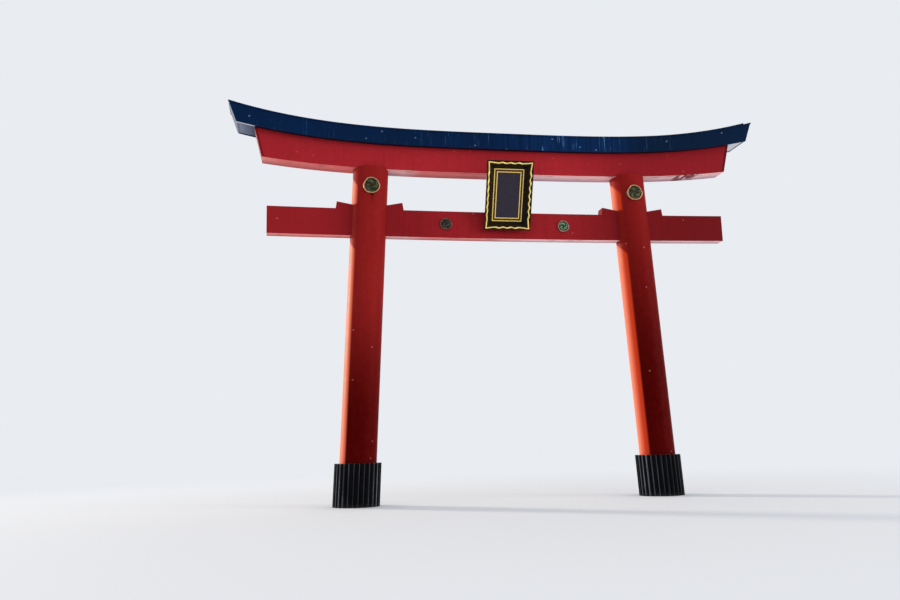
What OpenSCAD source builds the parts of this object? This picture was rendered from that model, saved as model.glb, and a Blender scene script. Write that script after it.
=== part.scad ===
// Large torii gate: two leaning round pillars, a tie beam, a double curved lintel and a name plaque.
// Millimetres. X runs along the gate, the front faces -Y, Z is up from the ground midway between the pillars.

/* [Pillars] */
// Distance between the pillar centres at the ground
pillar_spacing = 9540; // [9000:20:11000]
// Diameter of a pillar
pillar_d = 1100; // [900:10:1200]
// Inward lean of each pillar from the upright, in degrees
pillar_lean = 3; // [0:0.5:4]
// Height of pillar left standing above the underside of the lower lintel
saddle_depth = 32; // [10:2:80]

/* [Foot sleeves] */
// Height of the ribbed sleeve round each foot
sleeve_h = 1250; // [600:10:2000]
// Wall of the sleeve behind its ribs
sleeve_wall = 81; // [40:1:140]
// Number of half-round ribs round a sleeve
rib_count = 26; // [12:1:32]
// Radius of a rib
rib_r = 66; // [20:1:70]

/* [Tie beam] */
// Underside of the tie beam above the ground, at the middle
tie_z = 8104; // [7000:10:8400]
// Depth of the tie beam from top to bottom
tie_h = 850; // [500:10:950]
// Thickness of the tie beam from front to back
tie_t = 380; // [200:10:500]
// Half of the tie beam's length
tie_half = 7420; // [6200:20:8000]
// Rise of the tie beam at the reference distance from the middle
tie_rise = 67; // [0:1:120]

/* [Wedges] */
// Length of a wedge outside the pillar
wedge_out = 500; // [200:10:700]
// Height of a wedge where it meets the pillar
wedge_h = 138; // [60:2:160]
// Slope of a wedge's top, rise over run
wedge_slope = 0.18; // [0.05:0.01:0.2]

/* [Lower lintel] */
// Open height between the tie beam and the lower lintel, at the middle
lower_above = 1248; // [1150:2:1600]
// Depth of the lower lintel from top to bottom, at the middle
lower_h = 764; // [500:2:900]
// Thickness of the lower lintel from front to back
lower_t = 646; // [400:2:700]
// How much longer its top is than its underside, at each end
lower_flare = 223; // [0:1:300]
// Rise of the underside at the reference distance from the middle
lower_rise = 373; // [100:1:450]
// Width of the closing plate at each end
lower_end_w = 75; // [20:5:150]
// How far the closing plate stands out in front and behind
lower_end_proud = 6; // [2:1:20]

/* [Top lintel] */
// Height of the dark face at the middle
face_h = 456; // [300:1:700]
// Thickness of the top lintel from front to back
top_t = 1080; // [800:10:1300]
// Half length of the top lintel along its underside
top_half = 8353; // [7600:1:9600]
// How far its underside reaches past the lower lintel's top
top_past = 547; // [300:1:800]
// How much longer its upper edge is than its underside, at each end
top_flare = 210; // [0:1:300]
// Rise of the underside at the reference distance from the middle
under_rise = 520; // [200:1:620]
// Rise of the upper edge at the reference distance from the middle
upper_rise = 586; // [300:1:720]
// Thickness of the face and end boards
face_t = 40; // [15:5:60]
// How far the face and end boards hang below the soffit
lip = 20; // [5:1:60]

/* [Roof] */
// Thickness of the roof at its edge
roof_edge = 45; // [20:5:80]
// How far the roof stands out past the boards
roof_out = 20; // [5:1:60]
// Height of the roof from its edge to the ridge
roof_rise = 120; // [40:5:160]
// Width of the flat under the ridge cap
ridge_w = 180; // [100:10:300]
// Height of the ridge cap
ridge_h = 42; // [20:2:80]

/* [Strut] */
// Width of the strut between the tie beam and the lower lintel
strut_w = 520; // [300:10:600]
// Thickness of the strut from front to back
strut_t = 300; // [150:10:380]

/* [Plaque] */
// Width of the plaque across its front rim
plaque_w = 1500; // [1300:1:1600]
// Height of the plaque across its front rim
plaque_h = 2172; // [2000:1:2300]
// Depth from the front rim back to the panel
plaque_deep = 150; // [80:5:200]
// Width of the panel
panel_w = 1010; // [900:2:1080]
// Height of the panel
panel_h = 1700; // [1600:2:1800]
// Thickness of the panel
panel_t = 30; // [15:1:40]
// Width of the front rim
rim_w = 120; // [84:1:140]
// Thickness of the frame boards at the panel
board_t = 45; // [20:1:60]
// Forward lean of the plaque, in degrees
plaque_lean = 22; // [10:1:26]
// Distance of the lower front edge from the middle of the gate
plaque_front = 414; // [400:2:520]
// Height of the lower front edge above the tie beam's underside
plaque_above = 221; // [200:1:300]
// Width and height of each bar that stays the plaque to the strut
stay_size = 60; // [30:2:100]
// Open height between a stay and the lower lintel
stay_drop = 90; // [60:5:200]
// Width and height of each block that carries the plaque on the tie beam
rest_size = 90; // [50:2:120]
// Height of the blocks above the plaque's lower front edge
rest_above = 329; // [290:1:350]

/* [Gold lines] */
// Distance from the panel's side to the middle of the outer border line
outer_side = 37.5; // [20:0.5:60]
// Distance from the panel's top and bottom to the middle of the outer border line
outer_top = 42; // [20:0.5:60]
// Distance from the panel's side to the middle of the inner border line
inner_side = 125; // [80:0.5:180]
// Distance from the panel's top and bottom to the middle of the inner border line
inner_top = 131; // [80:0.5:180]
// Width of a border line
line_w = 24; // [10:1:40]
// Height of a gold line above its ground
line_t = 10; // [4:1:16]
// Width of the wavy rim line
wave_w = 36; // [20:1:44]
// How far the rim's hollows come in towards the panel
wave_swing = 23; // [0:1:30]
// How far the rim's hollows lie back behind its corners
wave_back = 30; // [0:1:34]
// How far the middle of each side of the rim comes in and lies back besides
rim_bow = 10; // [0:1:14]
// Hollows along the top and along the bottom of the rim
waves_across = 4; // [2:1:8]
// Hollows along each side of the rim
waves_up = 7; // [3:1:12]

/* [Crests] */
// Height of the pillar crests above the top of the tie beam
crest_above = 676; // [560:2:800]
// Radius of a pillar crest
crest_r = 268; // [200:2:300]
// How far the crest's drum stands out from the pillar
crest_out = 26; // [15:1:60]
// Distance of the tie beam crests from the middle
disc_x = 1915; // [1400:5:2600]
// Height of the tie beam crests above the beam's half height
disc_above = 17; // [0:1:80]
// Radius of a tie beam crest
disc_r = 195; // [120:5:240]
// Thickness of a tie beam crest's disc
disc_t = 24; // [10:1:40]
// Height of rims and swirls above the crest's ground
relief_t = 18; // [8:1:30]

/* [Hidden] */
$fn = 96;
red = [0.62, 0.11, 0.09];
black = [0.03, 0.03, 0.03];
navy = [0.03, 0.12, 0.20];
gold = [0.90, 0.74, 0.30];
bronze = [0.22, 0.24, 0.16];
green = [0.25, 0.50, 0.36];
// Distance from the middle at which every rise is stated
reference = 8000;
// Power of the lintels' curve, and of the tie beam's
lintel_power = 3.3;
tie_power = 2;
// Spacing of the points along every curved edge
step = 250;
// Clearance between curved faces that would touch
gap = 0.3;
// Length and height that reach past everything, for cutting
far = 12000;
pillar_r = pillar_d / 2;
sleeve_r = pillar_r + sleeve_wall;
tie_top_z = tie_z + tie_h;
lower_z = tie_top_z + lower_above;
top_z = lower_z + lower_h;
face_top_z = top_z + face_h;
top_half_upper = top_half + top_flare;
roof_half = top_half_upper + roof_out;
lower_half_top = top_half - top_past;
lower_half = lower_half_top - lower_flare;
// Number of points on each side of the middle along every curved edge
steps = ceil(roof_half / step) + 1;
plaque_z = tie_z + plaque_above;
rim_back_w = panel_w + 2 * board_t;
rim_back_h = panel_h + 2 * board_t;
back_y = plaque_deep + panel_t;
outer_line_w = panel_w - 2 * outer_side;
outer_line_h = panel_h - 2 * outer_top;
inner_line_w = panel_w - 2 * inner_side;
inner_line_h = panel_h - 2 * inner_top;
crest_z = tie_top_z + crest_above;

function edge_z(x, base, rise, power = lintel_power) = base + rise * pow(abs(x) / reference, power);
function curve(base, rise, power = lintel_power) =
    [for (i = [-steps:steps]) [i * step, edge_z(i * step, base, rise, power)]];
function backwards(points) = [for (i = [len(points) - 1:-1:0]) points[i]];
// Height of the straight chord between two neighbouring points of a curved edge
function chord_z(x, base, rise) =
    let (i = floor(x / step), t = x / step - i)
    edge_z(i * step, base, rise) * (1 - t) + edge_z((i + 1) * step, base, rise) * t;
function pillar_x(z) = pillar_spacing / 2 - tan(pillar_lean) * z;

wedge_top_z = edge_z(pillar_x(tie_top_z), tie_top_z, tie_rise, tie_power) + wedge_h;
pillar_top_z = edge_z(pillar_x(lower_z), lower_z, lower_rise) + saddle_depth;
ends_slope = top_flare / (edge_z(top_half_upper, face_top_z, upper_rise) -
    edge_z(top_half, top_z, under_rise));
lower_slope = lower_flare / (edge_z(lower_half_top, top_z, under_rise) -
    edge_z(lower_half, lower_z, lower_rise));

// Stands a front-view outline upright and gives it a thickness from front to back
module slab(thickness, y = 0) {
    translate([0, y, 0])
        rotate([90, 0, 0])
            linear_extrude(height = thickness, center = true)
                children();
}

module between(low, high) {
    polygon(concat(low, backwards(high)));
}

module end_cut(half, z, slope, inset = 0) {
    polygon([[-half + inset + far * slope, z - far], [half - inset - far * slope, z - far],
        [half - inset + far * slope, z + far], [-half + inset - far * slope, z + far]]);
}

module block(x0, x1, z0, z1) {
    translate([x0, z0])
        square([x1 - x0, z1 - z0]);
}

module leaning(side) {
    translate([side * pillar_spacing / 2, 0, 0])
        rotate([0, -side * pillar_lean, 0])
            children();
}

module cut_level(height) {
    intersection() {
        children();
        translate([-far, -far, 0])
            cube([2 * far, 2 * far, height]);
    }
}

module tie_outline() {
    intersection() {
        between(curve(tie_z, tie_rise, tie_power), curve(tie_top_z, tie_rise, tie_power));
        block(-tie_half, tie_half, 0, far);
    }
}

module tie_beam() {
    color(red)
        slab(tie_t)
            tie_outline();
}

// Top of a wedge falls towards the pillar's middle, so the pair grips the mortise
module wedge(side, way) {
    middle = pillar_x(wedge_top_z);
    face = pillar_r / cos(pillar_lean);
    tip = 20;
    end = face + wedge_out;
    color(red)
        slab(tie_t)
            difference() {
                translate([side * middle, 0])
                    scale([side * way, 1])
                        polygon([[tip, wedge_top_z - wedge_slope * (face - tip)], [tip, tie_z + tie_h / 2],
                            [end, tie_z + tie_h / 2], [end, tie_top_z + wedge_h / 4],
                            [end - wedge_h / 4, wedge_top_z + wedge_slope * wedge_out]]);
                tie_outline();
            }
}

module mortise_top(side) {
    slab(tie_t)
        block(side * pillar_x(wedge_top_z) - pillar_d, side * pillar_x(wedge_top_z) + pillar_d,
            tie_top_z, wedge_top_z);
}

module lower_outline() {
    between(curve(lower_z, lower_rise), curve(top_z, under_rise));
}

module lower_ends(inset = 0) {
    end_cut(lower_half, edge_z(lower_half, lower_z, lower_rise), lower_slope, inset);
}

module pillar(side) {
    color(red)
        difference() {
            cut_level(pillar_top_z)
                leaning(side)
                    translate([0, 0, -pillar_d])
                        cylinder(d = pillar_d, h = far);
            slab(tie_t)
                tie_outline();
            mortise_top(side);
            slab(lower_t)
                lower_outline();
        }
}

// Ring of half-round ribs round the foot, cut level at the ground and on top
module sleeve(side) {
    color(black)
        cut_level(sleeve_h)
            leaning(side)
                translate([0, 0, -pillar_d])
                    linear_extrude(height = far / 2)
                        difference() {
                            union() {
                                circle(r = sleeve_r);
                                for (i = [0:rib_count - 1])
                                    rotate(i * 360 / rib_count)
                                        translate([sleeve_r, 0])
                                            circle(r = rib_r);
                            }
                            circle(r = pillar_r + gap);
                        }
}

module strut() {
    color(red)
        slab(strut_t)
            intersection() {
                between(curve(tie_top_z, tie_rise, tie_power), curve(lower_z, lower_rise));
                block(-strut_w / 2, strut_w / 2, 0, far);
            }
}

module lower_lintel() {
    color(red)
        slab(lower_t)
            intersection() {
                lower_outline();
                lower_ends(lower_end_w);
            }
}

module half(side) {
    intersection() {
        children();
        block(side < 0 ? -far : 0, side < 0 ? 0 : far, 0, 2 * far);
    }
}

module lower_end(side) {
    color(red)
        slab(lower_t + 2 * lower_end_proud)
            half(side)
                difference() {
                    intersection() {
                        lower_outline();
                        lower_ends();
                    }
                    lower_ends(lower_end_w);
                }
}

module top_ends(inset = 0) {
    end_cut(top_half, edge_z(top_half, top_z, under_rise), ends_slope, inset);
}

module core() {
    color(navy)
        slab(top_t - 2 * face_t)
            intersection() {
                between(curve(top_z, under_rise), curve(face_top_z, upper_rise));
                top_ends(face_t);
            }
}

module face_outline() {
    between(curve(top_z - lip, under_rise), curve(face_top_z, upper_rise));
}

module face_board(side) {
    color(navy)
        slab(face_t, side * (top_t - face_t) / 2)
            intersection() {
                face_outline();
                top_ends();
            }
}

module top_end(side) {
    color(navy)
        slab(top_t - 2 * face_t)
            half(side)
                difference() {
                    intersection() {
                        face_outline();
                        top_ends();
                    }
                    top_ends(face_t);
                }
}

// Low gable with a flat under the ridge cap, carried along the curve of the upper edge
module roof() {
    inner = [for (i = [-steps:steps]) if (abs(i * step) < roof_half) i * step];
    stations = concat([-roof_half], inner, [roof_half]);
    deep = top_t / 2 + roof_out;
    section = [[-deep, 0], [-deep, roof_edge], [-ridge_w / 2, roof_edge + roof_rise],
        [ridge_w / 2, roof_edge + roof_rise], [deep, roof_edge], [deep, 0]];
    n = len(section);
    last = len(stations) - 1;
    points = [for (x = stations, s = section)
        [x, s[0], chord_z(x, face_top_z, upper_rise) + s[1]]];
    sides = [for (i = [0:last - 1], j = [0:n - 1])
        [i * n + j, i * n + (j + 1) % n, (i + 1) * n + (j + 1) % n, (i + 1) * n + j]];
    color(navy)
        polyhedron(points = points, faces = concat(
            [[for (j = [n - 1:-1:0]) j]], sides, [[for (j = [0:n - 1]) last * n + j]]));
}

module ridge_cap() {
    under = face_top_z + roof_edge + roof_rise;
    color(navy)
        slab(ridge_w)
            intersection() {
                between(curve(under, upper_rise), curve(under + ridge_h, upper_rise));
                block(-roof_half, roof_half, 0, 2 * far);
            }
}

// The plaque's own frame: lower front edge at the origin, Z up its face, +Y into its depth
module on_plaque() {
    translate([0, -plaque_front, plaque_z])
        rotate([plaque_lean, 0, 0])
            children();
}

module centred_board(w, h, t, y) {
    translate([-w / 2, y, (plaque_h - h) / 2])
        cube([w, t, h]);
}

// Depth of the wave at a share t of the way between two corners, from 0 to 1: n evenly spaced hollows, and
// a straight run from the last one to each corner
function hollow(t, n) =
    let (place = abs(t - 0.5) * (n + 1.35), last = (n - 1) / 2, corner = (n + 1.35) / 2)
    place > last ? (corner - place) / (corner - last) : (1 + cos(360 * (place - last))) / 2;

// Ring of points round the plaque's middle at a depth, with none or all of the rim's play
function ring(w, h, y, play = 0) =
    [for (side = [0:3])
        let (level = side % 2 == 0, n = level ? waves_across : waves_up, count = 8 * n + 8,
            long = level ? w : h, wide = level ? h : w)
        for (i = [0:count - 1])
            let (t = i / count, bow = rim_bow * sin(180 * t), f = hollow(t, n),
                a = long * (0.5 - t), b = wide / 2 - play * (bow + wave_swing * f))
            [a * cos(90 * side) - b * sin(90 * side), y + play * (bow + wave_back * f),
                a * sin(90 * side) + b * cos(90 * side)]];
function wave_ring(out, y) = ring(plaque_w - rim_w + 2 * out, plaque_h - rim_w + 2 * out, y, 1);

// Loft through rings of points, closed round the plaque and from the last ring to the first
module ringed(rings) {
    n = len(rings[0]);
    m = len(rings);
    polyhedron(points = [for (r = rings, p = r) p],
        faces = [for (k = [0:m - 1], i = [0:n - 1], half = [0, 1])
            let (a = k * n + i, b = k * n + (i + 1) % n,
                c = (k + 1) % m * n + (i + 1) % n, d = (k + 1) % m * n + i)
            half == 0 ? [a, c, b] : [a, d, c]]);
}

// Flared boards: the outer edge is straight, and the rim's wave and bow die out towards the panel
module plaque_frame() {
    color(black)
        on_plaque()
            translate([0, 0, plaque_h / 2])
                ringed([ring(plaque_w, plaque_h, 0), wave_ring(wave_w / 2, 0), wave_ring(-wave_w / 2, 0),
                    wave_ring(-rim_w / 2, 0), ring(panel_w, panel_h, plaque_deep),
                    ring(panel_w, panel_h, back_y), ring(rim_back_w, rim_back_h, back_y)]);
}

module plaque_panel() {
    color(black)
        on_plaque()
            centred_board(panel_w, panel_h, panel_t, plaque_deep);
}

module plaque_field() {
    color([0.13, 0.12, 0.15])
        on_plaque()
            centred_board(inner_line_w - line_w, inner_line_h - line_w, line_t / 2,
                plaque_deep - line_t / 2);
}

module plaque_line(w, h) {
    color(gold)
        on_plaque()
            difference() {
                centred_board(w + line_w, h + line_w, line_t, plaque_deep - line_t);
                centred_board(w - line_w, h - line_w, 3 * line_t, plaque_deep - 2 * line_t);
            }
}

// The line follows the rim's wave
module wavy_rim() {
    front = -gap - line_t;
    color(gold)
        on_plaque()
            translate([0, 0, plaque_h / 2])
                ringed([wave_ring(wave_w / 2, front), wave_ring(-wave_w / 2, front),
                    wave_ring(-wave_w / 2, -gap), wave_ring(wave_w / 2, -gap)]);
}

// Two stays from the strut to the panel's back, and two rests on the tie beam
module behind_plaque() {
    difference() {
        children();
        on_plaque()
            translate([-plaque_w, -plaque_w, -plaque_h])
                cube([2 * plaque_w, plaque_w + back_y, 3 * plaque_h]);
    }
}

module pair_of_bars(x, y, z, size) {
    color(red)
        behind_plaque()
            for (side = [-1, 1])
                translate([side * x - size / 2, y - plaque_w, z])
                    cube([size, plaque_w, size]);
}

module stays() {
    pair_of_bars(strut_w / 3, -strut_t / 2, lower_z - stay_drop - stay_size, stay_size);
}

module rests() {
    pair_of_bars(panel_w / 3, -tie_t / 2, plaque_z + rest_above, rest_size);
}

// One comma of the swirl, as a spiral with a round head and a fine tail
function comma(r) =
    let (n = 20,
        track = [for (i = [0:n]) let (t = i / n)
            [150 * t, r * (0.34 + 0.62 * pow(t, 0.9)), r * 0.25 * sin(180 * pow(t, 0.45))]])
    concat([for (p = track) (p[1] + p[2]) * [cos(p[0]), sin(p[0])]],
        [for (i = [n - 1:-1:1]) let (p = track[i]) (p[1] - p[2]) * [cos(p[0]), sin(p[0])]]);

// Outline that opens outwards over each third of a turn and then steps back in
function opening(r, grow, start) =
    [for (i = [0:2], j = [0:24])
        (r + grow * j / 24) * [cos(120 * i + 5 * j + start), sin(120 * i + 5 * j + start)]];

module on_front(x, y, z) {
    translate([x, y, z])
        rotate([90, 0, 0])
            children();
}

module swirl(r) {
    linear_extrude(height = relief_t)
        for (i = [0:2])
            rotate(120 * i + 43)
                polygon(comma(r));
}

// Three joined arcs, each with its end lying outside the next one's start
module rim(r) {
    linear_extrude(height = relief_t * 1.3)
        difference() {
            polygon(opening(0.92 * r, 0.08 * r, 12));
            polygon(opening(0.805 * r, 0.08 * r, 2));
        }
}

module crest_drum(side) {
    color(bronze)
        difference() {
            on_front(side * pillar_x(crest_z), 0, crest_z)
                cylinder(r = crest_r * 0.97, h = pillar_r + crest_out);
            leaning(side)
                cylinder(r = pillar_r + gap, h = far);
        }
}

module on_crest(side) {
    on_front(side * pillar_x(crest_z), -pillar_r - crest_out, crest_z)
        children();
}

module on_disc(side) {
    on_front(side * disc_x, -tie_t / 2 - disc_t, tie_z + tie_h / 2 + disc_above)
        children();
}

module crest_rim(side) {
    color(gold)
        on_crest(side)
            rim(crest_r);
}

module crest_swirl(side) {
    color(green)
        on_crest(side)
            swirl(crest_r * 0.84);
}

module disc(side) {
    color(bronze)
        on_disc(side)
            translate([0, 0, -disc_t])
                cylinder(r = disc_r, h = disc_t);
}

module disc_rim(side) {
    color([0.66, 0.58, 0.46])
        on_disc(side)
            rim(disc_r);
}

module disc_swirl(side) {
    color(green)
        on_disc(side)
            swirl(disc_r * 0.78);
}

pillar(-1);  // pillar_left
pillar(1);  // pillar_right
sleeve(-1);  // sleeve_left
sleeve(1);  // sleeve_right
tie_beam();  // nuki_tie_beam
wedge(-1, 1);  // wedge_left_outer
wedge(-1, -1);  // wedge_left_inner
wedge(1, -1);  // wedge_right_inner
wedge(1, 1);  // wedge_right_outer
strut();  // gakuzuka_strut
lower_lintel();  // shimaki_lower_lintel
lower_end(-1);  // shimaki_end_left
lower_end(1);  // shimaki_end_right
core();  // kasagi_core
face_board(-1);  // kasagi_face_front
face_board(1);  // kasagi_face_back
top_end(-1);  // kasagi_end_left
top_end(1);  // kasagi_end_right
roof();  // kasagi_roof
ridge_cap();  // kasagi_ridge_cap
plaque_panel();
plaque_field();
plaque_frame();
wavy_rim();  // plaque_wavy_rim
plaque_line(outer_line_w, outer_line_h);  // plaque_line_outer
plaque_line(inner_line_w, inner_line_h);  // plaque_line_inner
stays();  // plaque_stays
rests();  // plaque_rests
crest_drum(-1);  // crest_left_drum
crest_rim(-1);  // crest_left_rim
crest_swirl(-1);  // crest_left_swirl
crest_drum(1);  // crest_right_drum
crest_rim(1);  // crest_right_rim
crest_swirl(1);  // crest_right_swirl
disc(-1);  // disc_left
disc_rim(-1);  // disc_left_rim
disc_swirl(-1);  // disc_left_swirl
disc(1);  // disc_right
disc_rim(1);  // disc_right_rim
disc_swirl(1);  // disc_right_swirl
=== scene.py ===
"""The looks of a large torii gate: paint, lacquer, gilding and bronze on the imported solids."""

import math

import bmesh
import bpy
import mathutils
import numpy as np
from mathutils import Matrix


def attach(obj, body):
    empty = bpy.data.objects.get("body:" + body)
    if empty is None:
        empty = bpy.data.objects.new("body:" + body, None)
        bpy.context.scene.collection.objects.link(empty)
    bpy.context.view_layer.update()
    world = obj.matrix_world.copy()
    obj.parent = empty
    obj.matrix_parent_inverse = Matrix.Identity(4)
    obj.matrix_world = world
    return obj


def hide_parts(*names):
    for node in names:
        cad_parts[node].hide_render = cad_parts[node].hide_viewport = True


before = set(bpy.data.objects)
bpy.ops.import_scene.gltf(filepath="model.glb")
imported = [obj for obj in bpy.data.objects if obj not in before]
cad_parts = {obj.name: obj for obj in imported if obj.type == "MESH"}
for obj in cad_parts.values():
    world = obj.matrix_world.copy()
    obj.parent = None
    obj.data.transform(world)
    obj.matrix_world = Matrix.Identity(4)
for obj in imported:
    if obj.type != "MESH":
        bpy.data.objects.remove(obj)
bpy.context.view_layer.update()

# Sizes of the gate in metres, the same as the solids have. A side of the plaque's rim is as long as its count
# of waves and the extra waves together.
PILLAR_SPACING = 9.540
PILLAR_RADIUS = 0.550
PILLAR_LEAN = math.radians(3)
TIE_BEAM_THICK = 0.380
PLAQUE_WIDTH, PLAQUE_HEIGHT = 1.500, 2.172
PLAQUE_LEAN = math.radians(22)
PLAQUE_FRONT, PLAQUE_Z = 0.414, 8.325
PLAQUE_DEEP = 0.150
PANEL_WIDTH, PANEL_HEIGHT, PANEL_THICK = 1.010, 1.700, 0.030
RIM_WIDTH = 0.120
BOARD_THICK = 0.045
LINE_WIDTH, LINE_HIGH = 0.024, 0.010
OUTER_SIDE, OUTER_TOP = 0.0375, 0.042
INNER_SIDE, INNER_TOP = 0.125, 0.131
WAVE_WIDTH, WAVE_SWING, WAVE_BACK, RIM_BOW = 0.036, 0.023, 0.030, 0.010
WAVES_ACROSS, WAVES_UP, EXTRA_WAVES = 4, 7, 1.35
CREST_Z, CREST_RADIUS, CREST_OUT = 9.630, 0.268, 0.026
DISC_X, DISC_Z, DISC_RADIUS, DISC_THICK = 1.915, 8.546, 0.195, 0.024
RELIEF = 0.018

# Sizes that only the finer surfaces have. The gilding laps 3 mm onto the black at each side of a gilded line,
# and each relief is sunk 2 mm into its ground. Two low reeds lie on the frame's flare at these shares of it,
# the commas fill these shares of their crests' radius, and edges that turn by more than the crease are sharp.
LAP = 0.006
SUNK = 0.002
REED_HIGH, REED_WIDE, REEDS_AT = 0.008, 0.05, (0.22, 0.48)
CREST_COMMAS, DISC_COMMAS = 0.84, 0.78
CREASE = math.radians(35)

# The stretch of a noise that is alike in all directions
EVEN = (1, 1, 1)


def linear(code):
    """The linear colour of an sRGB hex code, with alpha 1: a channel c up to 0.04045 becomes c / 12.92, and a
    larger one ((c + 0.055) / 1.055) to the power 2.4."""
    channels = [int(code[i:i + 2], 16) / 255 for i in (1, 3, 5)]
    return (*(c / 12.92 if c <= 0.04045 else ((c + 0.055) / 1.055) ** 2.4 for c in channels), 1.0)


def adder(tree):
    """A function that adds one shader node to the tree with its settings, and sets or links its inputs. They
    are given in order, where None leaves one as it is, or as one dict. It returns the output that is named,
    or else the first, and None for a node that has no outputs."""
    def put(kind, *inputs, out=0, **settings):
        node = tree.nodes.new("ShaderNode" + kind)
        for key, value in settings.items():
            setattr(node, key, value)
        given = inputs[0].items() if inputs and isinstance(inputs[0], dict) else enumerate(inputs)
        for key, value in given:
            if isinstance(value, bpy.types.NodeSocket):
                tree.links.new(value, node.inputs[key])
            elif value is not None:
                node.inputs[key].default_value = value
        return node.outputs[out] if node.outputs else None
    return put


def start_material(name, values):
    """A material with one Principled surface and the plain values of its sockets. Returns the material, the
    function that adds nodes to it, the piece's own coordinates, and their x, y and z."""
    made = bpy.data.materials.new(name)
    made.use_nodes = True
    made.node_tree.nodes.clear()
    put = adder(made.node_tree)
    put("OutputMaterial", put("BsdfPrincipled", values))
    place = put("TexCoord", out="Object")
    return made, put, place, put("SeparateXYZ", place).node.outputs


def surface_of(material):
    """The material's Principled surface."""
    return next(node for node in material.node_tree.nodes if node.type == "BSDF_PRINCIPLED")


def joined(material, **sources):
    """Links sockets to the surface's sockets, named with _ for a space, and returns the material."""
    surface = surface_of(material)
    for name, source in sources.items():
        material.node_tree.links.new(source, surface.inputs[name.replace("_", " ")])
    return material


def clouds(put, place, stretch, size, low, high, top=1.0, detail=4.0):
    """A mask from 0 to top of noise with features about that size in metres, drawn out along an axis where
    stretch is small. Noise below low gives 0, and above high gives top."""
    spread = put("Mapping", {"Vector": place, "Scale": stretch})
    noise = put("TexNoise", {"Vector": spread, "Scale": 1 / size, "Detail": detail, "Roughness": 0.55})
    return put("MapRange", noise, low, high, 0.0, top)


def stretch_between(put, value, start, full, still, end):
    """A mask that rises smoothly from start to full, stays 1 up to still, and falls to 0 at end."""
    rise = put("MapRange", value, start, full, interpolation_type="SMOOTHSTEP")
    fall = put("MapRange", value, end, still, interpolation_type="SMOOTHSTEP")
    return put("Math", rise, fall, operation="MULTIPLY")


def upright_faces(put, facing_up):
    """A mask of the faces that stand within about 30 degrees of upright."""
    return put("MapRange", put("Math", facing_up, operation="ABSOLUTE"), 0.6, 0.4)


def layered(put, base, *layers):
    """Lays colours over a base, one after another. Each layer is a colour and one or more masks, and shows
    where all of its masks meet."""
    colour = linear(base) if isinstance(base, str) else base
    for over, *masks in layers:
        where = masks[0]
        for mask in masks[1:]:
            where = put("Math", where, mask, operation="MULTIPLY")
        over = linear(over) if isinstance(over, str) else over
        colour = put("Mix", {0: where, 6: colour, 7: over}, out=2, data_type="RGBA")
    return colour


def bumped(put, *layers):
    """The normal of bump layers of (height, depth in metres, strength), laid one on another."""
    normal = None
    for height, depth, strength in layers:
        normal = put("Bump", {"Height": height, "Distance": depth, "Strength": strength, "Normal": normal})
    return normal


def specks(put, x, z, spacing, radius, share):
    """A mask of small broken marks, about spacing apart in metres over the front. Each cell of a flat cell
    pattern has its mark at its point, and only about that share of the cells show theirs."""
    flat = put("CombineXYZ", x, z, 0.0)
    cells = put("TexVoronoi", {"Vector": flat, "Scale": 1 / spacing}, voronoi_dimensions="2D")
    mark = put("MapRange", cells, radius / spacing, 0.3 * radius / spacing)
    lot = put("SeparateXYZ", cells.node.outputs["Color"])
    mark = put("Math", mark, clouds(put, flat, EVEN, radius, 0.40, 0.58, detail=2), operation="MULTIPLY")
    return put("Math", mark, put("MapRange", lot, share + 0.01, share - 0.01), operation="MULTIPLY")


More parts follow.
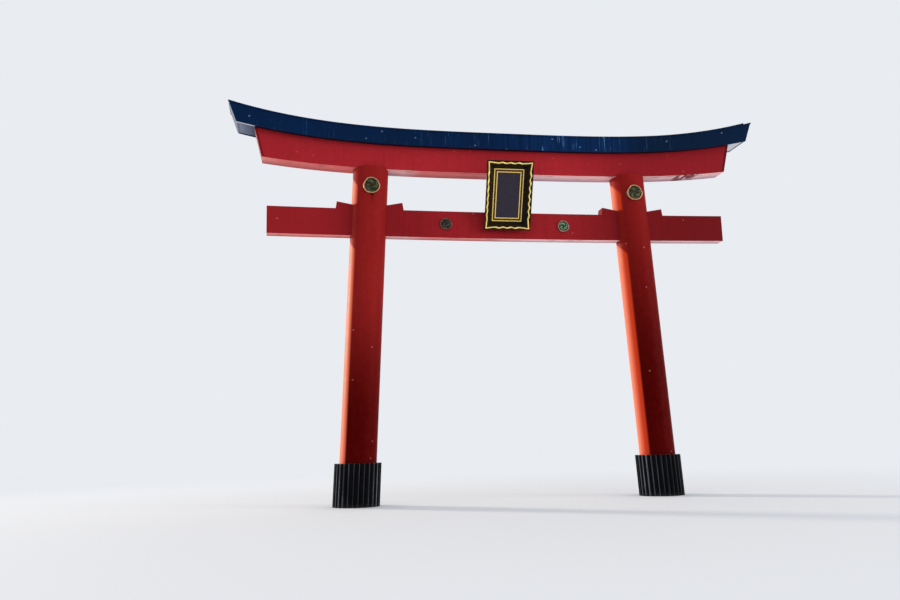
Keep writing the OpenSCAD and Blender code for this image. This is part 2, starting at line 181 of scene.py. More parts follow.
def pillar_light_and_weather(put, enamel, soiled, mottle, normal, facing, axes):
    """Colour laid over a pillar's enamel: a dark film that is painted shade, painted sunlight on the side
    that faces left and a little back with painted shadows of the lintel and the tie beam across it, and rust
    water below the left crest."""
    facing_right, facing_back, _ = facing
    x, y, z = axes
    # The film is painted shade. It thickens downwards, starts higher on the right pillar, and is a little
    # thinner at the right of each pillar, which is painted light
    starts = put("MapRange", x, -4.4, 4.4, 6.9, 11.6)
    full = put("MapRange", x, -4.4, 4.4, 2.4, 3.2)
    film = put("MapRange", z, starts, full, 0.0, 1.0, interpolation_type="SMOOTHSTEP")
    uneven = put("MapRange", mottle, 0.0, 1.0, 0.9, 1.0)
    painted_light_right = put("MapRange", facing_right, 0.1, 0.9, 1.0, 0.84)
    # Painted sunlight on the side that faces left and a little back, and painted shadows of the lintel and
    # the tie beam across it, down to a line below each that slants with the light
    turn = put("VectorMath", normal, (-0.731, 0.682, 0.0), operation="DOT_PRODUCT", out="Value")
    painted_light_flank = put("MapRange", turn, 0.0, 0.16, interpolation_type="SMOOTHSTEP")
    painted_light_not_back = put("MapRange", facing_back, 0.85, 0.42, interpolation_type="SMOOTHSTEP")
    slanted = put("Math", turn, -0.5, z, operation="MULTIPLY_ADD")
    below_beam, beside_beam = put("MapRange", slanted, 7.56, 7.66), put("MapRange", z, 9.14, 9.07)
    tie_beam_painted_shadow = put("Math", below_beam, beside_beam, operation="MULTIPLY")
    painted_beam_shadows = put("Math", tie_beam_painted_shadow, put("MapRange", slanted, 9.58, 9.68), operation="MAXIMUM")
    outside_painted_shadows = put("MapRange", painted_beam_shadows, 0.0, 1.0, 1.0, 0.08)
    pale_from = put("MapRange", x, -4.0, 4.0, 0.04, 0.30)
    pale_to = put("MapRange", x, -4.0, 4.0, 0.36, 0.80)
    painted_sunlight = layered(put, "#C43A1C", ("#E4866A", put("MapRange", turn, pale_from, pale_to)))
    # The rust water is a dark spot at the crest's lower edge, and a faint run under it
    front = put("MapRange", y, -0.40, -0.45)
    run_across = stretch_between(put, x, -4.34, -4.26, -4.24, -4.16)
    run_down = stretch_between(put, z, 8.95, 9.30, 9.34, 9.42)
    spot_across = stretch_between(put, x, -4.30, -4.275, -4.225, -4.20)
    spot_down = stretch_between(put, z, 9.30, 9.325, 9.365, 9.39)
    # Painted shade low down, painted sunlight outside the painted shadows, and the rust water
    return layered(put, enamel, ("#460100", film, uneven, painted_light_right), (painted_sunlight, painted_light_flank, painted_light_not_back, outside_painted_shadows),
                   (soiled, run_across, run_down, front, 0.5),
                   ("#33090A", spot_across, spot_down, front, 0.9))


def underside_light_and_weather(put, enamel, chalk_and_painted_light, half_thick, lintel, place, facing_up, axes):
    """Undersides, which rain never washes: salmon, partly chalk and partly painted light from below, on the
    left half and at its end, pale with painted light beside the left pillar and on the right half, darker
    towards the back with painted shade, and with patches of dark dust."""
    x, y, _ = axes
    under = put("MapRange", facing_up, -0.55, -0.85, interpolation_type="SMOOTHSTEP")
    inward = put("MapRange", y, -half_thick * 0.3, half_thick * 0.7)
    # Painted light from below makes the undersides pale beside the left pillar and on the right half, and the
    # back strip is darker with painted shade
    bare = put("Math", stretch_between(put, x, -4.1, -3.7, -3.3, -2.5), 0.7, operation="MULTIPLY")
    rightward = put("Math", put("MapRange", x, -0.9, 1.0), bare, operation="MAXIMUM")
    front_strip = layered(put, chalk_and_painted_light, ("#F0978E", put("MapRange", x, -7.0, -7.6)), ("#FFCDCB", rightward))
    back_strip = layered(put, "#BC5A58", ("#C49EAC", rightward))
    pale = layered(put, front_strip, (back_strip, inward))
    dust = clouds(put, place, (0.5, 2, 1), 0.35, 0.56, 0.66, 0.6)
    weathered = layered(put, enamel, (pale, under), ("#7E4A52", under, dust))
    if lintel:
        # Enamel gone in dark patches of 100 to 300 mm near the right end
        near_end = stretch_between(put, x, 5.82, 5.98, 6.58, 6.76)
        flakes = clouds(put, place, (1.3, 0.6, 1), 0.24, 0.44, 0.51, detail=5)
        weathered = layered(put, weathered, ("#7C2830", near_end, under, flakes))
    return weathered


def vermilion_enamel(name, base, faded, soiled, chalk_and_painted_light, half_thick=0.32, pillar=False, lintel=False):
    """Brushed vermilion enamel on welded steel: a satin film that fades in broad clouds, runs dark in fine
    rain streaks, and goes salmon and chalk-pale on the undersides, where part of the paleness is painted
    light from below. Years of weather have taken most of new paint's reflection at right angles, and it still
    shines along the edges."""
    level = 0.012 if pillar else 0.04
    made, put, place, axes = start_material(name, {"IOR": 1.5, "Specular IOR Level": level})
    x, _, z = axes
    normal = put("NewGeometry", out="Normal")
    facing = put("SeparateXYZ", normal).node.outputs
    facing_up = facing["Z"]
    # Fading over some metres, mottling of about 150 mm from brush and filler, rain streaks 50 to 100 mm wide
    # and 2 m long, and broken chips of up to 60 mm that show the chalky undercoat
    mottle = clouds(put, place, EVEN, 0.15, 0.3, 0.75, detail=5)
    streaks = clouds(put, place, (1, 1, 0.035), 0.07, 0.5, 0.8, 0.25)
    upright = upright_faces(put, facing_up)
    chips = put("Math", specks(put, x, z, 0.55, 0.032, 0.22), upright, operation="MULTIPLY")
    if lintel:
        broad = stretch_between(put, x, -19.0, -1.0, 1.4, 5.0)
    elif pillar:
        broad = clouds(put, place, (1, 1, 0.7), 2.0, 0.35, 0.7, 0.5, 3)
    else:
        broad = stretch_between(put, x, -3.4, -1.2, 1.8, 3.8)
    colour = layered(put, base, (faded, broad), (soiled, mottle, 0.2), (soiled, streaks))
    if pillar:
        colour = pillar_light_and_weather(put, colour, soiled, mottle, normal, facing, axes)
    elif not lintel:
        # The tie beam is duller towards its right end, and a little more faded at its left end
        colour = layered(put, colour, (soiled, put("MapRange", x, 1.5, 6.0, 0.0, 0.55)),
                         (faded, put("MapRange", x, -4.8, -6.0, 0.0, 0.6)))
    colour = underside_light_and_weather(put, colour, chalk_and_painted_light, half_thick, lintel, place, facing_up, axes)
    colour = layered(put, colour, (chalk_and_painted_light, chips, 0.6))
    # Plates drawn into shallow hollows of about 1 m by the welding, and brush marks drawn coarser than real
    hollows = clouds(put, place, EVEN, 0.9, 0.0, 1.0, detail=2)
    brush = clouds(put, place, (1, 1, 0.15), 0.02, 0.0, 1.0, detail=3)
    return joined(made, Base_Color=colour, Roughness=put("MapRange", mottle, 0.0, 1.0, 0.36, 0.50),
                  Normal=bumped(put, (hollows, 0.012, 0.3), (brush, 0.002, 0.2), (chips, 0.002, 0.3)))


def blue_black_enamel(name, base, dark, run, soffit, pale):
    """Blue-black enamel on folded sheet: smoother than the red, with paler vertical runs where rain carries
    chalk down the face, and a grey-blue soffit with a pale front strip of painted light from the ground and
    painted shade over the lower lintel."""
    made, put, place, (x, y, z) = start_material(name, {"IOR": 1.5, "Specular IOR Level": 0.045})
    facing_up = put("SeparateXYZ", put("NewGeometry", out="Normal"), out="Z")
    upright = upright_faces(put, facing_up)
    # A darker right end, a bluer stretch right of the middle, and runs 30 to 60 mm wide, most of them in it
    rightward = put("MapRange", x, 3.6, 4.8, interpolation_type="SMOOTHSTEP")
    stretch = stretch_between(put, x, -0.8, 0.6, 3.4, 4.6)
    soft_runs = clouds(put, place, (1, 1, 0.03), 0.10, 0.42, 0.70)
    thin_runs = clouds(put, place, (1, 1, 0.05), 0.045, 0.60, 0.70, detail=2)
    broken = clouds(put, place, (1, 1, 0.6), 0.5, 0.46, 0.60, detail=2)
    marks = specks(put, x, z, 0.50, 0.036, 0.26)
    colour = layered(put, base, (dark, clouds(put, place, EVEN, 2.6, 0.35, 0.7, detail=3)),
                     ("#02172E", rightward, 0.7), ("#0A3366", stretch, soft_runs, 0.55),
                     (run, stretch, thin_runs, broken, upright, 0.7), (run, thin_runs, broken, upright, 0.18),
                     ("#93A6BE", marks, upright, 0.7))
    # The soffit between the lips: near-black painted shade over the lower lintel, grey-blue and clouded with
    # soot beyond its left end with a pale front strip of painted light, and pale with painted light beyond
    # its right end
    inside = put("MapRange", put("Math", y, operation="ABSOLUTE"), 0.503, 0.499)
    strip = stretch_between(put, y, -0.499, -0.493, -0.40, -0.36)
    soot = clouds(put, place, EVEN, 0.5, 0.3, 0.75, 0.3)
    dulled = layered(put, soffit, ("#47506A", put("MapRange", x, -8.35, -7.85)), (base, soot))
    open_soffit = layered(put, dulled, (pale, strip), (pale, put("MapRange", x, 7.4, 7.6)))
    beyond = put("MapRange", put("Math", x, operation="ABSOLUTE"), 7.78, 7.82)
    shaded = layered(put, "#12161F", (open_soffit, beyond))
    colour = layered(put, colour, (shaded, put("MapRange", facing_up, -0.5, -0.8), inside))
    # Sheets of 1.8 m with a fine lap between them, and their slight oil-canning
    lap = put("MapRange", put("Math", x, 1.8, operation="PINGPONG"), 0.014, 0.008)
    waves = clouds(put, place, (1, 1, 0.6), 0.6, 0.0, 1.0, detail=2)
    return joined(made, Base_Color=colour, Roughness=put("MapRange", soft_runs, 0.0, 1.0, 0.30, 0.42),
                  Normal=bumped(put, (waves, 0.012, 0.3), (lap, 0.003, 0.4)))


def black_gloss_enamel(name):
    """Gloss black enamel on ribbed sleeves: near-black on the crowns, with pale dust and salt lodged in thin
    lines in the grooves, drawn paler and wider towards the two sides as a painted highlight, and a grey
    splash line just above the ground."""
    made, put, place, (x, y, z) = start_material(name, {"IOR": 1.5, "Specular IOR Level": 0.04})
    # Distance from the leaning pillar's axis, sqrt(y^2 + ((abs(x) - spacing / 2 + z tan(lean)) cos(lean))^2)
    axis = put("Math", z, -math.tan(PILLAR_LEAN), PILLAR_SPACING / 2, operation="MULTIPLY_ADD")
    off = put("Math", put("Math", x, operation="ABSOLUTE"), axis, operation="SUBTRACT")
    off = put("Math", off, math.cos(PILLAR_LEAN), operation="MULTIPLY")
    radius = put("VectorMath", put("CombineXYZ", off, y, 0.0), operation="LENGTH", out="Value")
    # The sides as seen from the front, where the groove lines are paler and wider: a painted highlight
    painted_light_flank = put("MapRange", put("Math", off, operation="ABSOLUTE"), 0.20, 0.56)
    groove = put("MapRange", put("Math", painted_light_flank, -0.018, radius, operation="MULTIPLY_ADD"), 0.652, 0.640)
    dust = clouds(put, place, (1, 1, 0.15), 0.12, 0.25, 0.8)
    uneven = put("MapRange", clouds(put, place, (1, 1, 0.3), 0.30, 0.35, 0.65), 0.0, 1.0, 0.4, 1.0)
    painted_highlight_on_sides = put("MapRange", painted_light_flank, 0.0, 1.0, 0.3, 1.0)
    splash = put("MapRange", z, 0.12, 0.0)
    colour = layered(put, "#030305", ("#101115", dust, 0.3), ("#A4A9B4", groove, uneven, painted_highlight_on_sides),
                     ("#3C3A38", splash, 0.4))
    return joined(made, Base_Color=colour, Roughness=put("MapRange", dust, 0.0, 1.0, 0.22, 0.40),
                  Normal=bumped(put, (dust, 0.003, 0.3)))


def lacquer(name, base, worn, rough, shine):
    """Lacquered board: a deep, even film with a soft gloss, faintly dulled outdoors in patches of 100 mm."""
    made, put, place, _ = start_material(name, {"IOR": 1.52, "Specular IOR Level": shine})
    dulled = clouds(put, place, EVEN, 0.10, 0.35, 0.75, detail=5)
    settled = clouds(put, place, EVEN, 0.25, 0.0, 1.0, detail=2)
    return joined(made, Base_Color=layered(put, base, (worn, dulled, 0.5)),
                  Roughness=put("MapRange", dulled, 0.0, 1.0, rough, rough + 0.2),
                  Normal=bumped(put, (settled, 0.004, 0.3), (dulled, 0.001, 0.2)))


def flecked_lacquer(name):
    """Red-brown lacquer with gold dust sprinkled in it, as between two gold borders. The dust is real at 1 to
    3 mm and drawn at about 20 mm, as fine as the render shows."""
    made, put, place, _ = start_material(name, {"IOR": 1.52, "Specular IOR Level": 0.2, "Roughness": 0.35})
    spots = put("MapRange", put("TexVoronoi", {"Vector": place, "Scale": 34.0}), 0.34, 0.16)
    share = put("Math", spots, clouds(put, place, EVEN, 0.06, 0.42, 0.55, detail=2), operation="MULTIPLY")
    return joined(made, Base_Color=layered(put, "#3E1C08", ("#C08E34", share)),
                  Metallic=put("MapRange", share, 0.0, 1.0, 0.0, 0.8),
                  Normal=bumped(put, (spots, 0.001, 0.4)))


def gilding(name, bright, tarnish, metal):
    """Gold leaf over size: a warm satin metal, uneven where the leaves overlap and browned in patches."""
    made, put, place, _ = start_material(name, {"Metallic": metal})
    aged = clouds(put, place, EVEN, 0.09, 0.4, 0.75, detail=5)
    return joined(made, Base_Color=layered(put, bright, (tarnish, aged, 0.5)),
                  Roughness=put("MapRange", aged, 0.0, 1.0, 0.36, 0.61),
                  Normal=bumped(put, (aged, 0.002, 0.3)))


def weathered_bronze(name, bare, crust, share, size=0.07):
    """Cast bronze left to the weather: brown-black metal under an uneven crust of green or grey."""
    made, put, place, _ = start_material(name, {})
    grown = clouds(put, place, EVEN, size, 0.66 - share * 0.4, 0.86 - share * 0.4, detail=5)
    return joined(made, Base_Color=layered(put, bare, (crust, grown)),
                  Metallic=put("MapRange", grown, 0.0, 1.0, 0.8, 0.05),
                  Roughness=put("MapRange", grown, 0.0, 1.0, 0.5, 0.8),
                  Normal=bumped(put, (grown, 0.003, 0.5)))


# Satin vermilion enamel: on the tubes it is the warmest, on the box beams a little cooler, and the lintel's
# closing plates have a darker coat
pillar_red = vermilion_enamel("vermilion enamel on steel tube",
                              "#901E1E", "#9A2320", "#600D08", "#E89080", pillar=True)
beam_red = vermilion_enamel("vermilion enamel on steel box beam",
                            "#8B1A20", "#9C2026", "#56060A", "#EE8880", half_thick=TIE_BEAM_THICK / 2)
lintel_red = vermilion_enamel("vermilion enamel on steel lintel",
                              "#911A23", "#B0262E", "#6A131C", "#E6726E", lintel=True)
plate_red = vermilion_enamel("dark red enamel on closing plates", "#7C1219", "#861A22", "#4E0C14", "#D07468")
# Enamel that reads navy on the lintel's sheet, and a gloss black one on the sleeves
dark_blue = blue_black_enamel("blue-black enamel on sheet",
                              "#012046", "#021B3A", "#5C8DBA", "#8E9BB4", "#D4D9E4")
sleeve_black = black_gloss_enamel("black gloss enamel on ribs")
# Lacquer on the plaque: glossy warm black on the frame, dull slate on the field, and gold-dusted brown
# between the lines
frame_black = lacquer("black lacquer on boards", "#100902", "#2C1D07", 0.24, 0.12)
field_slate = lacquer("slate lacquer on the plaque's field", "#272230", "#35303B", 0.45, 0.20)
band_brown = flecked_lacquer("red-brown lacquer with gold dust")
# Gold leaf: clear yellow on the plaque's carved lines, worn and redder on the crests' rims
plaque_gold = gilding("gold leaf on carved wood", "#FFE07A", "#EEC05A", 0.45)
crest_gold = gilding("gold leaf on cast crest rim", "#CC9C6C", "#8E6044", 0.5)
# Bronze: dark with a green bloom on the crests, greener on the right beam crest, and worn brown and tan on
# the small rims
crest_bronze = weathered_bronze("dark bronze of the crests", "#2C2410", "#3A3014", 0.5)
crest_green = weathered_bronze("green bronze of the crests' commas", "#2A2A18", "#50603E", 0.55)
disc_bronze = weathered_bronze("dark bronze of the beam crests", "#2A2019", "#2C2C22", 0.6)
disc_green = weathered_bronze("dark green bronze of the left beam crest", "#2A2A24", "#48533F", 0.5)
disc_bright_green = weathered_bronze("verdigris on the right beam crest", "#2C4632", "#6E9472", 0.85)
disc_brown = weathered_bronze("worn brown rim of the left beam crest", "#6A3A33", "#946058", 0.75, 0.05)
disc_tan = weathered_bronze("worn pale rim of the right beam crest", "#8C6656", "#CCA694", 0.8, 0.05)

FINISHES = {
    "pillar_left": pillar_red, "pillar_right": pillar_red,
    "sleeve_left": sleeve_black, "sleeve_right": sleeve_black,
    "nuki_tie_beam": beam_red, "gakuzuka_strut": beam_red,
    "wedge_left_outer": beam_red, "wedge_left_inner": beam_red,
    "wedge_right_inner": beam_red, "wedge_right_outer": beam_red,
    "shimaki_lower_lintel": lintel_red, "shimaki_end_left": plate_red, "shimaki_end_right": plate_red,
    "kasagi_core": dark_blue, "kasagi_face_front": dark_blue, "kasagi_face_back": dark_blue,
    "kasagi_end_left": dark_blue, "kasagi_end_right": dark_blue,
    "kasagi_roof": dark_blue, "kasagi_ridge_cap": dark_blue,
    "plaque_panel": frame_black, "plaque_field": field_slate, "plaque_frame": frame_black,
    "plaque_wavy_rim": plaque_gold, "plaque_line_outer": plaque_gold, "plaque_line_inner": plaque_gold,
    "plaque_stays": beam_red, "plaque_rests": beam_red,
    "crest_left_drum": crest_bronze, "crest_right_drum": crest_bronze,
    "crest_left_rim": crest_gold, "crest_right_rim": crest_gold,
    "crest_left_swirl": crest_green, "crest_right_swirl": crest_green,
    "disc_left": disc_bronze, "disc_right": disc_bronze,
    "disc_left_rim": disc_brown, "disc_right_rim": disc_tan,
    "disc_left_swirl": disc_green, "disc_right_swirl": disc_bright_green,
}
for node_name, finish in FINISHES.items():
    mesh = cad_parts[node_name].data
    mesh.materials.clear()
    mesh.materials.append(finish)


def grid_faces(rings, across, close_rings, close_across):
    """The quads of a grid of rings by across points, joined round each way that closes."""
    i = np.arange(rings if close_rings else rings - 1)[:, None]
    j = np.arange(across if close_across else across - 1)[None, :]
    i2, j2 = (i + 1) % rings, (j + 1) % across
    quads = [i * across + j, i2 * across + j, i2 * across + j2, i * across + j2]
    return np.stack(quads, axis=-1).reshape(-1, 4)


def surface_piece(name, grids, material, stands_for=()):
    """Makes one object from several closed surfaces, each given as (points, faces) in whole arrays. Doubled
    points are merged, which closes the tapered ends, and the faces are turned outwards."""
    points, faces, base = [], [], 0
    for p, f in grids:
        points.append(p.reshape(-1, 3))
        faces.append(f + base)
        base += len(points[-1])
    mesh = bpy.data.meshes.new(name)
    mesh.from_pydata(np.concatenate(points).tolist(), [], np.concatenate(faces).tolist())
    shape = bmesh.new()
    shape.from_mesh(mesh)
    bmesh.ops.remove_doubles(shape, verts=shape.verts, dist=2e-6)
    bmesh.ops.dissolve_degenerate(shape, edges=shape.edges, dist=1e-6)
    bmesh.ops.recalc_face_normals(shape, faces=shape.faces)
    shape.to_mesh(mesh)
    shape.free()
    mesh.polygons.foreach_set("use_smooth", np.ones(len(mesh.polygons), dtype=bool))
    mesh.set_sharp_from_angle(angle=CREASE)
    mesh.materials.append(material)
    piece = bpy.data.objects.new(name, mesh)
    bpy.context.scene.collection.objects.link(piece)
    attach(piece, "root")
    if stands_for:
        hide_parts(*stands_for)


def on_plaque(across, up, deep):
    """Points given across, up its face from the middle, and into its depth, turned by the plaque's lean
    about its lower front edge and moved to its place."""
    sine, cosine = math.sin(PLAQUE_LEAN), math.cos(PLAQUE_LEAN)
    across, up, deep = np.broadcast_arrays(across, up + PLAQUE_HEIGHT / 2, deep)
    y, z = -PLAQUE_FRONT + deep * cosine - up * sine, PLAQUE_Z + deep * sine + up * cosine
    return np.stack([across, y, z], axis=-1)


def on_front(across, up, out, x, y, z):
    """Points given across, up and out towards the front, from a place on a surface that faces the front."""
    across, up, out = np.broadcast_arrays(across, up, out)
    return np.stack([x + across, y - out, z + up], axis=-1)


def plaque_rings(rings, per_wave=12):
    """A moulding round the plaque as rings of points, each ring (half width, half height, depth, play). On
    each side t runs from 0 to 1 between the corners. With q = abs(t - 0.5) (n + extra waves) and
    last = (n - 1) / 2, the wave is (1 + cos(2 pi (q - last))) / 2 up to the last of its n hollows, and beyond
    it falls straight to 0 at the corner. The side stands in by play * (bow sin(pi t) + swing * wave), and
    lies deeper by the same with the wave's back for its swing. Corners are mitred."""
    half_w, half_h, depth, play = (np.asarray(rings, dtype=float)[:, k][:, None] for k in range(4))
    across, up, deep = [], [], []
    for side in range(4):
        count = WAVES_ACROSS if side % 2 == 0 else WAVES_UP
        t = (np.arange((count + 1) * per_wave) / ((count + 1) * per_wave))[None, :]
        q = np.abs(t - 0.5) * (count + EXTRA_WAVES)
        last, corner = (count - 1) / 2, (count + EXTRA_WAVES) / 2
        wave = np.where(q > last, (corner - q) / (corner - last), (1 + np.cos(2 * math.pi * (q - last))) / 2)
        bow = RIM_BOW * np.sin(math.pi * t)
        along, away = ((half_w, half_h), (half_h, half_w))[side % 2]
        a, b = along * (1 - 2 * t), away - play * (bow + WAVE_SWING * wave)
        turn = side * math.pi / 2
        across.append(a * math.cos(turn) - b * math.sin(turn))
        up.append(a * math.sin(turn) + b * math.cos(turn))
        deep.append(depth + play * (bow + WAVE_BACK * wave))
    across, up, deep = (np.concatenate(v, axis=1) for v in (across, up, deep))
    return on_plaque(across, up, deep), grid_faces(*across.shape, True, True)


def gilded_line(half_w, half_h, depth, width, play=0.0):
    """Rings of a half-round moulding: the section is a half ellipse that stands above depth by a line's
    height, with its foot sunk."""
    turn = np.linspace(0, math.pi, 11)
    offset = np.append(np.cos(turn) * width / 2, [-width / 2, width / 2])
    rise = np.append(np.sin(turn) * LINE_HIGH, [-SUNK, -SUNK])
    return [(half_w + o, half_h + o, depth - r, play) for o, r in zip(offset, rise)]


def plaque_pieces():
    """The plaque's flared frame, its gilded lines and the band between two of them. The frame's section is
    given as (inset from its outer edge, depth, play). The outer edge is straight, the rim waves and lies back
    between its corners, and the play fades to nothing at the panel. With v the share of the flare, a reed at
    v0 stands up by its height times exp(-((v - v0) / width)^2)."""
    half_w, half_h = PLAQUE_WIDTH / 2, PLAQUE_HEIGHT / 2
    foot = half_w - PANEL_WIDTH / 2
    section = [(0.0, 0.012, 0.0), (0.003, 0.004, 0.0), (0.009, 0.0, 0.05), (0.020, 0.0, 0.35),
               (0.031, 0.0, 0.8), (0.040, 0.0, 1.0), (RIM_WIDTH - 0.012, 0.0, 1.0),
               (RIM_WIDTH - 0.003, 0.001, 1.0), (RIM_WIDTH, 0.005, 1.0)]
    for v in np.linspace(0.04, 1.0, 33):
        reeds = REED_HIGH * sum(math.exp(-((v - at) / REED_WIDE) ** 2) for at in REEDS_AT)
        depth = 0.005 + v * (PLAQUE_DEEP - 0.005) - reeds
        section.append((RIM_WIDTH + v * (foot - RIM_WIDTH), depth, 1.0 - v))
    back = PLAQUE_DEEP + PANEL_THICK
    section += [(foot - 0.002, back, 0.0), (foot - BOARD_THICK, back, 0.0), (0.002, 0.016, 0.0)]
    flared = plaque_rings([(half_w - i, half_h - i, d, p) for i, d, p in section])
    surface_piece("flared_frame", [flared], frame_black, ("plaque_frame",))
    wave = gilded_line(half_w - RIM_WIDTH / 2, half_h - RIM_WIDTH / 2, 0.0, WAVE_WIDTH + LAP, 1.0)
    surface_piece("gilded_wave", [plaque_rings(wave)], plaque_gold, ("plaque_wavy_rim",))
    outer = (PANEL_WIDTH / 2 - OUTER_SIDE, PANEL_HEIGHT / 2 - OUTER_TOP)
    inner = (PANEL_WIDTH / 2 - INNER_SIDE, PANEL_HEIGHT / 2 - INNER_TOP)
    for word, halves in (("outer", outer), ("inner", inner)):
        line = plaque_rings(gilded_line(*halves, PLAQUE_DEEP, LINE_WIDTH + LAP), 2)
        surface_piece(f"gilded_{word}_line", [line], plaque_gold, (f"plaque_line_{word}",))
    # The flecked band runs under both lines, 3 mm proud of the panel and 1 mm into it
    proud, into = PLAQUE_DEEP - 0.003, PLAQUE_DEEP + 0.001
    band = [(*outer, proud, 0), (*inner, proud, 0), (*inner, into, 0), (*outer, into, 0)]
    surface_piece("flecked_band", [plaque_rings(band, 2)], band_brown)


def curved_stroke(angle, radius, half_width, height, place, count=9):
    """A domed stroke along a curve in polar form: at each angle and radius its section is a half ellipse,
    half_width to each side and height out, with its foot sunk. It tapers shut at both ends."""
    turn = np.linspace(0, math.pi, count)
    side = np.append(np.cos(turn), [-1, 1])[None, :] * half_width[:, None]
    out = np.append(np.sin(turn), [0, 0])[None, :] * height[:, None]
    out[:, -2:] -= np.where(half_width > 1e-6, SUNK, 0.0)[:, None]
    r, around = radius[:, None] + side, angle[:, None]
    points = on_front(r * np.cos(around), r * np.sin(around), out, *place)
    return points, grid_faces(len(angle), count + 2, False, True)


def rim_arcs(size, place):
    """Three arcs that open outwards as they turn: over 130 degrees the radius grows from 0.85 to 0.93 of
    size, with half a width of 0.065 at the middle, and each free end lies outside the next one's start."""
    t = np.linspace(0, 1, 65)
    taper = np.minimum(1, 9 * np.sqrt(t * (1 - t))) * np.where((t == 0) | (t == 1), 0, 1)
    radius, half_width, height = size * (0.85 + 0.08 * t), size * 0.065 * taper, RELIEF * 1.3 * np.sqrt(taper)
    return [curved_stroke(np.radians(120 * third + 2 + 130 * t), radius, half_width, height, place)
            for third in range(3)]


def commas(size, place):
    """Three commas: over 150 degrees the radius grows as 0.34 + 0.62 t^0.9 of size, and the half width is a
    quarter of size times sin(pi t^0.45), so each has a round head and a fine tail."""
    t = np.linspace(0, 1, 57) ** 1.6
    half_width = size * 0.25 * np.sin(math.pi * t ** 0.45)
    half_width[[0, -1]] = 0
    radius, height = size * (0.34 + 0.62 * t ** 0.9), RELIEF * np.sqrt(half_width / half_width.max())
    return [curved_stroke(np.radians(120 * third + 43 + 150 * t), radius, half_width, height, place, 13)
            for third in range(3)]


def crest_pieces():
    """The rim arcs and commas of the crests on the pillars, and of the smaller ones on the tie beam."""
    crest_x = PILLAR_SPACING / 2 - math.tan(PILLAR_LEAN) * CREST_Z
    sides = ((-1, "left", disc_green, disc_brown), (1, "right", disc_bright_green, disc_tan))
    for side, word, green, brown in sides:
        crest = (side * crest_x, -PILLAR_RADIUS - CREST_OUT, CREST_Z)
        arcs, swirl = rim_arcs(CREST_RADIUS, crest), commas(CREST_RADIUS * CREST_COMMAS, crest)
        surface_piece(f"crest_{word}_arcs", arcs, crest_gold, (f"crest_{word}_rim",))
        surface_piece(f"crest_{word}_commas", swirl, crest_green, (f"crest_{word}_swirl",))
        disc = (side * DISC_X, -TIE_BEAM_THICK / 2 - DISC_THICK, DISC_Z)
        arcs, swirl = rim_arcs(DISC_RADIUS, disc), commas(DISC_RADIUS * DISC_COMMAS, disc)
        surface_piece(f"disc_{word}_arcs", arcs, brown, (f"disc_{word}_rim",))
        surface_piece(f"disc_{word}_commas", swirl, green, (f"disc_{word}_swirl",))


def camera_like_photograph():
    """A standing view from the front left: 1.65 m above the ground and 26 m off, looking up."""
    yaw, pitch, roll = 0.1813, 0.1686, -0.0262
    focal_pixels, picture_width, sensor = 863.56, 900, 36.0
    ahead = np.array([math.sin(yaw) * math.cos(pitch), math.cos(yaw) * math.cos(pitch), math.sin(pitch)])
    right = np.array([math.cos(yaw), -math.sin(yaw), 0.0])
    up = np.cross(right, ahead)
    right, up = math.cos(roll) * right + math.sin(roll) * up, -math.sin(roll) * right + math.cos(roll) * up
    camera = bpy.data.cameras.new("camera")
    camera.sensor_width = sensor
    camera.lens = focal_pixels / picture_width * sensor
    camera.clip_end = 1000
    holder = bpy.data.objects.new("camera", camera)
    bpy.context.scene.collection.objects.link(holder)
    holder.rotation_mode = "QUATERNION"
    turned = mathutils.Matrix(np.column_stack([right, up, -ahead]).tolist())
    holder.rotation_quaternion = turned.to_quaternion()
    holder.location = (-6.5912, -26.0770, 1.6500)
    bpy.context.scene.camera = holder


def soft_lamp(name, place, size, watts, colour):
    """A large rectangular studio lamp that faces the gate's middle."""
    lamp = bpy.data.lights.new(name, "AREA")
    lamp.shape = "RECTANGLE"
    lamp.size, lamp.size_y = size
    lamp.energy = watts
    lamp.color = colour
    holder = bpy.data.objects.new(name, lamp)
    bpy.context.scene.collection.objects.link(holder)
    holder.location = place
    holder.visible_camera = False
    holder.rotation_mode = "QUATERNION"
    towards = mathutils.Vector((0, 0, 6)) - mathutils.Vector(place)
    holder.rotation_quaternion = towards.to_track_quat("-Z", "Y")


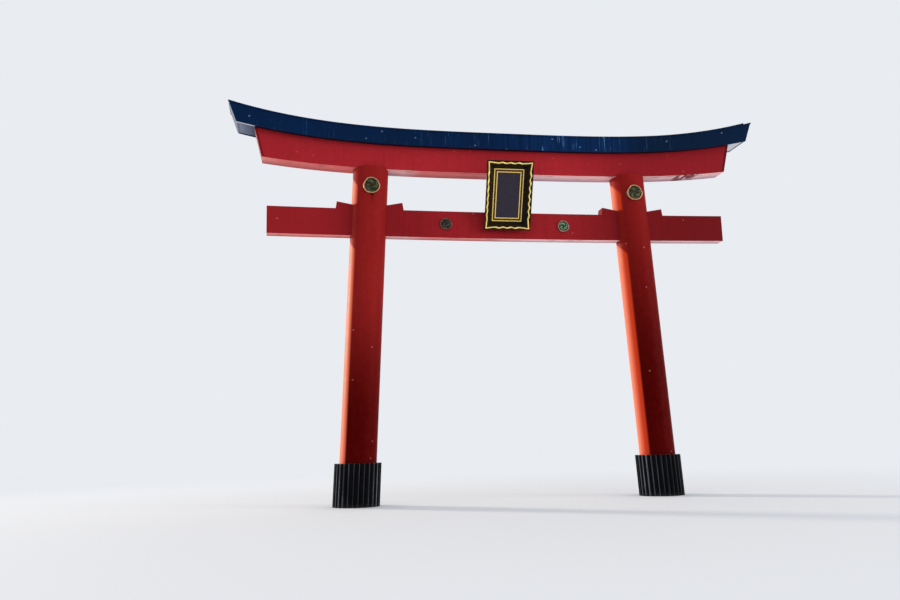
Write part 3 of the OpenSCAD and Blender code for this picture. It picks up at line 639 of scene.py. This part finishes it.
def studio_floor(pale):
    """A plain pale floor, 2 mm below the gate's feet. Far from the gate it shows the world's own colour to
    the camera, so there is no hard horizon."""
    values = {"Base Color": linear("#DBDDE0"), "Roughness": 0.9, "Specular IOR Level": 0.2}
    made, put, _, (x, y, _) = start_material("pale studio floor", values)
    distance = put("VectorMath", put("CombineXYZ", x, y, 0.0), operation="LENGTH", out="Value")
    seen = put("LightPath").node.outputs
    shown = put("Math", seen["Is Camera Ray"], seen["Is Glossy Ray"], operation="MAXIMUM")
    far = put("MapRange", distance, 6.0, 32.0, interpolation_type="SMOOTHSTEP")
    fade = put("Math", far, shown, operation="MULTIPLY")
    surface = surface_of(made).outputs[0]
    output = surface.links[0].to_socket
    made.node_tree.links.new(put("MixShader", fade, surface, put("Emission", pale, 1.0)), output)
    reach, low = 400.0, -0.002
    corners = [(-reach, -reach, low), (reach, -reach, low), (reach, reach, low), (-reach, reach, low)]
    mesh = bpy.data.meshes.new("studio_floor")
    mesh.from_pydata(corners, [], [(0, 1, 2, 3)])
    mesh.materials.append(made)
    floor = bpy.data.objects.new("studio_floor", mesh)
    bpy.context.scene.collection.objects.link(floor)


def studio_world(pale):
    """A world that lights the gate evenly, and is the pale colour wherever it is seen itself."""
    world = bpy.data.worlds.new("studio")
    world.use_nodes = True
    world.node_tree.nodes.clear()
    put = adder(world.node_tree)
    seen = put("LightPath").node.outputs
    look = put("Math", seen["Is Camera Ray"], seen["Is Transmission Ray"], operation="MAXIMUM")
    look = put("Math", look, seen["Is Glossy Ray"], operation="MAXIMUM")
    light = put("Background", linear("#EEF1F6"), 0.92)
    put("OutputWorld", put("MixShader", look, light, put("Background", pale, 1.0)))
    bpy.context.scene.world = world


plaque_pieces()
crest_pieces()
camera_like_photograph()
BACKDROP = linear("#E9ECF1")
studio_floor(BACKDROP)
studio_world(BACKDROP)
# A weak lamp ahead to the right, and a low warm one behind to the left, for the bright left flanks
soft_lamp("front_lamp", (62, -42, 16), (30, 16), 18000, (1.0, 0.985, 0.96))
soft_lamp("left_lamp", (-89, 83, 30), (14, 14), 150000, (1.0, 0.90, 0.78))
bpy.context.scene.view_settings.view_transform = "Standard"
